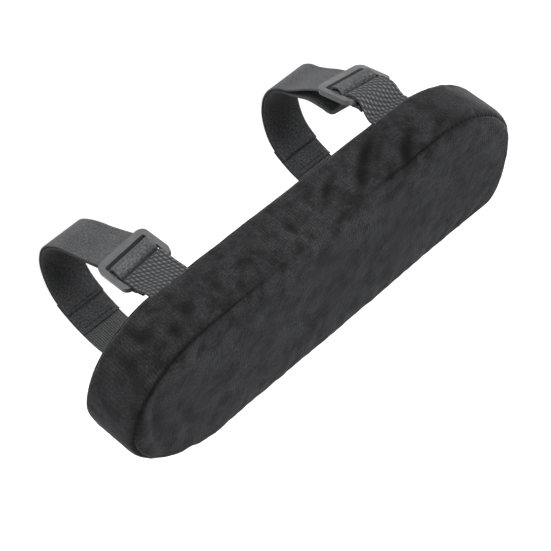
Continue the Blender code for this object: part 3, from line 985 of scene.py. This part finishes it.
def strap(name, path, thickness, face, x, step, columns):
    """A strap of rounded section along a path in the plane across the pad."""
    points, left, along = even_path(path, step)
    across = np.linspace(-STRAP_WIDTH / 2, STRAP_WIDTH / 2, columns + 1)
    edge = np.clip((np.abs(across) - (STRAP_WIDTH / 2 - EDGE_ROUND)) / EDGE_ROUND, 0, 1)
    half = thickness / 2 * np.sqrt(1 - edge ** 2)
    nearer_end = np.minimum(along, along[-1] - along)
    thin = 0.45 + 0.55 * smoothstep(nearer_end, 0, 3 * MM)
    order = np.concatenate((np.arange(columns + 1), np.arange(columns - 1, 0, -1)))
    side = np.concatenate((np.ones(columns + 1), -np.ones(columns - 1)))
    ring = len(order)
    inner = 1 - edge[order]
    run = np.broadcast_to(along[:, None], (len(along), ring))
    width = np.broadcast_to(across[order], run.shape)
    height, value = face(run + (side < 0) * 1.3 * MM, width)
    offset = side * (half[order] + height * inner) * thin[:, None]
    places = np.zeros((*run.shape, 3))
    places[..., 0] = x + width
    places[..., 1:] = points[:, None, :] + left[:, None, :] * offset[..., None]
    obj = mesh_object(name, places.reshape(-1, 3), strap_faces(len(along), ring, columns))
    turn_outward(obj.data)
    # This value sets the painted highlights and shade of the webbing's yarns; the rounded edges get a
    # fixed 0.25.
    add_values(obj.data, "weave_and_shade", np.clip(value * inner + 0.25 * (1 - inner), 0, 1).ravel())
    place = obj.data.attributes.new("strap", "FLOAT_VECTOR", "POINT")
    told = np.stack((run, width, np.broadcast_to(side, run.shape)), axis=-1)
    place.data.foreach_set("vector", told.astype(np.float32).ravel())
    return obj


def twist_loop(obj, x, loop):
    """Turn the buckle and the straps next to it a little about the hanging direction."""
    points = get_points(obj.data)
    y, z = points[:, 1], points[:, 2]
    share = smoothstep(-z, 0, 11 * MM) * (1 - smoothstep(-z, 34 * MM, 76 * MM))
    share *= smoothstep(y, -8 * MM, 12 * MM)
    angle = math.radians(loop["twist"]) * share
    axis_y = loop["centre"][0] * MM
    dx = points[:, 0] - x
    dy = y - axis_y
    points[:, 0] = x + dx * np.cos(angle) - dy * np.sin(angle)
    points[:, 1] = axis_y + dx * np.sin(angle) + dy * np.cos(angle)
    set_points(obj.data, points)
    return obj


def taking_in(obj):
    """Bake the piece's placement into its mesh."""
    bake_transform(obj)


def stitches(name, centre, normal, x, rows):
    """Rows of separate stitches across a strap, each dipping into the cloth at its ends."""
    data = bpy.data.curves.new(name, "CURVE")
    data.dimensions = "3D"
    data.bevel_depth = 0.24 * MM
    data.bevel_resolution = 2
    data.use_fill_caps = True
    length = 2.1 * MM
    pitch = 2.7 * MM
    count = int((STRAP_WIDTH - 3 * MM) / pitch)
    for base in rows:
        for k in range(count):
            middle = x + (k - (count - 1) / 2) * pitch
            spline = data.splines.new("POLY")
            spline.points.add(4)
            for point, t in zip(spline.points, (-1, -0.6, 0, 0.6, 1)):
                lift = 0.22 * MM - 0.5 * MM * t ** 4
                place = centre + base + normal * lift
                point.co = (middle + t * length / 2, place.x, place.y, 1)
    curve = new_object(name, data)
    obj = new_object(name + "_rows", evaluated(curve))
    bpy.data.objects.remove(curve, do_unlink=True)
    obj.data.shade_smooth()
    return obj


def rounded_rectangle(u0, u1, half_width, radius, steps):
    points = []
    for quarter, (u, w) in enumerate((
        (u1 - radius, half_width - radius),
        (u0 + radius, half_width - radius),
        (u0 + radius, radius - half_width),
        (u1 - radius, radius - half_width),
    )):
        for step in range(steps + 1):
            angle = math.radians(90) * (quarter + step / steps)
            points.append((u + radius * math.cos(angle), w + radius * math.sin(angle)))
    return points


def make_buckle(name, x, loop):
    """A moulded tri-glide with softly rounded bars."""
    outlines = [rounded_rectangle(
        -BUCKLE_LENGTH / 2, BUCKLE_LENGTH / 2, BUCKLE_WIDTH / 2, 4.4 * MM, 10)]
    for u0, u1 in SLOTS:
        outlines.append(rounded_rectangle(u0, u1, SLOT_WIDTH / 2, 1.0 * MM, 4))
    data = bpy.data.curves.new(name, "CURVE")
    data.dimensions = "2D"
    data.fill_mode = "BOTH"
    data.extrude = BUCKLE_THICKNESS / 2
    for outline in outlines:
        spline = data.splines.new("POLY")
        spline.points.add(len(outline) - 1)
        for point, (u, w) in zip(spline.points, outline):
            point.co = (u, w, 0, 1)
        spline.use_cyclic_u = True
    curve = new_object(name + "_curve", data)
    origin, along, out = on_buckle(loop, (0, 0), (1, 0), (0, 1))
    along = (along - origin).normalized()
    out = (out - origin).normalized()
    mesh = evaluated(curve)
    bpy.data.objects.remove(curve, do_unlink=True)
    obj = new_object(name, mesh)
    weld = obj.modifiers.new("Weld", "WELD")
    weld.merge_threshold = 0.01 * MM
    bevel = obj.modifiers.new("Bevel", "BEVEL")
    bevel.width = 0.85 * MM
    bevel.segments = 4
    bevel.limit_method = "ANGLE"
    bevel.angle_limit = math.radians(50)
    apply_modifiers(obj)
    obj.data.transform(Matrix((
        (0, -1, 0, x),
        (along.x, 0, out.x, origin.x),
        (along.y, 0, out.y, origin.y),
        (0, 0, 0, 1),
    )))
    obj.data.set_sharp_from_angle(angle=math.radians(40))
    return obj


def make_straps(name, loop, x):
    """The webbing stub, the webbing leg and the elastic band of a loop."""
    upper = strap(name + "_webbing_fold", upper_path(loop), WEBBING, woven_face, x, 0.45 * MM, 72)
    dress(twist_loop(upper, x, loop), WEB)
    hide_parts(name + "_upper_webbing")
    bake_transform(upper)

    lower = strap(name + "_webbing_leg", lower_path(loop), WEBBING, fine_face, x, 0.5 * MM, 80)
    dress(twist_loop(lower, x, loop), WEB)
    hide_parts(name + "_lower_webbing")
    taking_in(lower)

    path, main = elastic_path(loop)
    band = strap(name + "_elastic_band", path, ELASTIC, plain_face, x, 0.9 * MM, 36)
    dress(twist_loop(band, x, loop), KNIT)
    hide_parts(name + "_elastic")
    taking_in(band)
    return path, main


def make_loop_stitches(name, loop, x, path, main):
    """The rows that join the elastic and the leg, hem the tail, and close the webbing's fold."""
    surface = ELASTIC / 2
    first, second = JOINT_ROWS
    out = left_of(main)[first]
    rows = [Vector((0, 0)), main[second] - main[first]]
    joint = stitches(name + "_overlap_stitch", main[first] + out * surface, out, x, rows)
    dress(joint, THREAD)
    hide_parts(name + "_overlap_stitch")
    taking_in(joint)

    one_row = [Vector((0, 0))]
    place = path[HEM_ROW]
    away = -left_of(path)[HEM_ROW]
    hem = stitches(name + "_tail_hem_stitch", place + away * surface, away, x, one_row)
    dress(twist_loop(hem, x, loop), THREAD)
    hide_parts(name + "_tail_hem_stitch")
    taking_in(hem)

    u, v = loop["fold_back"][-2]
    place, below = on_buckle(loop, (u, v - WEBBING / 2 / MM), (u, v - 5))
    away = (below - place).normalized()
    fold = stitches(name + "_fold_stitch", place, away, x, one_row)
    dress(twist_loop(fold, x, loop), THREAD)
    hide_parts(name + "_fold_stitch")
    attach(fold, name + "_loop")


def make_loop(name, loop):
    low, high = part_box(name + "_buckle")
    x = (low.x + high.x) / 2
    buckle = twist_loop(make_buckle(name + "_buckle_frame", x, loop), x, loop)
    dress(buckle, PLASTIC)
    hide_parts(name + "_buckle")
    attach(buckle, name + "_loop")
    path, main = make_straps(name, loop, x)
    make_loop_stitches(name, loop, x, path, main)


# ---------------------------------------------------------------- zip

def copy_node(node, name, material, body):
    """A copy of a hard zip piece, bevelled a little and attached to its body."""
    piece = new_object(name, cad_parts[node].data.copy())
    bevel = piece.modifiers.new("Bevel", "BEVEL")
    bevel.width = 0.15 * MM
    bevel.segments = 2
    bevel.limit_method = "ANGLE"
    apply_modifiers(piece)
    dress(piece, material)
    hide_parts(node)
    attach(piece, body)
    press_down(piece)
    return piece


def make_coil(name, sign):
    """One row of nylon coil: a flattened helix that runs beside the zip's middle line."""
    low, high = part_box(name)
    pitch = 1.6 * MM
    per_turn = 10
    wire = 0.32 * MM
    deep = (high.y - low.y) / 2 - wire
    centre_y = (low.y + high.y) / 2
    turns = int((high.x - low.x) / pitch)
    phase = 0 if sign > 0 else math.pi
    data = bpy.data.curves.new(name, "CURVE")
    data.dimensions = "3D"
    data.bevel_depth = wire
    data.bevel_resolution = 1
    data.use_fill_caps = True
    spline = data.splines.new("POLY")
    spline.points.add(turns * per_turn)
    for k, point in enumerate(spline.points):
        angle = 2 * math.pi * k / per_turn + phase
        reach = 0.75 * MM + 0.95 * MM * math.cos(angle)
        x = low.x + wire + (high.x - low.x - 2 * wire) * k / (turns * per_turn)
        point.co = (x, centre_y + deep * math.sin(angle), ZIP_MIDDLE + sign * reach, 1)
    curve = new_object(name + "_curve", data)
    coil = new_object(name + "_turns", evaluated(curve))
    bpy.data.objects.remove(curve, do_unlink=True)
    coil.data.shade_smooth()
    dress(coil, COIL)
    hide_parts(name)
    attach(coil, "pad")
    press_down(coil)


def make_zip():
    make_coil("zip_upper_coil", 1)
    make_coil("zip_lower_coil", -1)
    for side in ("upper", "lower"):
        copy_node(f"zip_{side}_tape", f"zip_{side}_tape_cloth", TAPE, "pad")
    for end in ("open", "closed"):
        copy_node(f"zip_{end}_stop", f"zip_{end}_stop_clip", ENAMEL, "pad")
    copy_node("zip_slider", "zip_slider_body", ENAMEL, "slider")
    copy_node("zip_pull_tab", "zip_pull_plate", ENAMEL, "pull_tab")


def dress_hidden_threads():
    for node in ("top_seam_thread", "bottom_seam_thread"):
        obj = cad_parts[node]
        obj.data.materials.clear()
        obj.data.materials.append(THREAD)


# ---------------------------------------------------------------- stage

def make_camera():
    data = bpy.data.cameras.new("camera")
    data.lens = CAMERA_LENS
    data.sensor_width = 36
    data.clip_end = 20
    camera = new_object("camera", data)
    forward = Vector(CAMERA_FORWARD).normalized()
    right = forward.cross(Vector(CAMERA_UP)).normalized()
    up = right.cross(forward)
    turn = Matrix((right, up, -forward)).transposed().to_4x4()
    camera.matrix_world = Matrix.Translation(CAMERA_PLACE) @ turn
    bpy.context.scene.camera = camera


def make_floor():
    """A pale floor just under the loops, whose light doesn't reach the part."""
    bpy.ops.mesh.primitive_plane_add(size=8, location=(0, 0, cad_box[0][2] - 2 * MM))
    floor = bpy.context.object
    floor.name = "floor"
    material, _, shader = start("floor", (0.6, 0.6, 0.6), 0.9)
    shader.inputs["Specular IOR Level"].default_value = 0.1
    shader.inputs["Emission Color"].default_value = (1, 1, 1, 1)
    shader.inputs["Emission Strength"].default_value = 0.85
    floor.data.materials.append(material)
    floor.visible_diffuse = False


def add_light(name, place, size, power):
    data = bpy.data.lights.new(name, "AREA")
    data.size = size
    data.energy = power
    light = new_object(name, data)
    light.location = place
    aim = Vector((0, 0, 0)) - Vector(place)
    light.rotation_euler = aim.to_track_quat("-Z", "Y").to_euler()


def make_lights():
    world = bpy.data.worlds.new("studio")
    world.use_nodes = True
    backdrop = world.node_tree.nodes["Background"]
    backdrop.inputs["Color"].default_value = (1, 1, 1, 1)
    backdrop.inputs["Strength"].default_value = 0.27
    bpy.context.scene.world = world
    add_light("key", (0.1, 1.5, 0.14), 1.0, 25)
    add_light("top", (-0.1, 0.5, 1.6), 1.2, 22)


make_camera()
make_floor()
make_lights()
make_cover()
make_foam()
for loop_name, loop in LOOPS.items():
    make_loop(loop_name, loop)
make_zip()
dress_hidden_threads()

bpy.context.scene.view_settings.view_transform = "Standard"
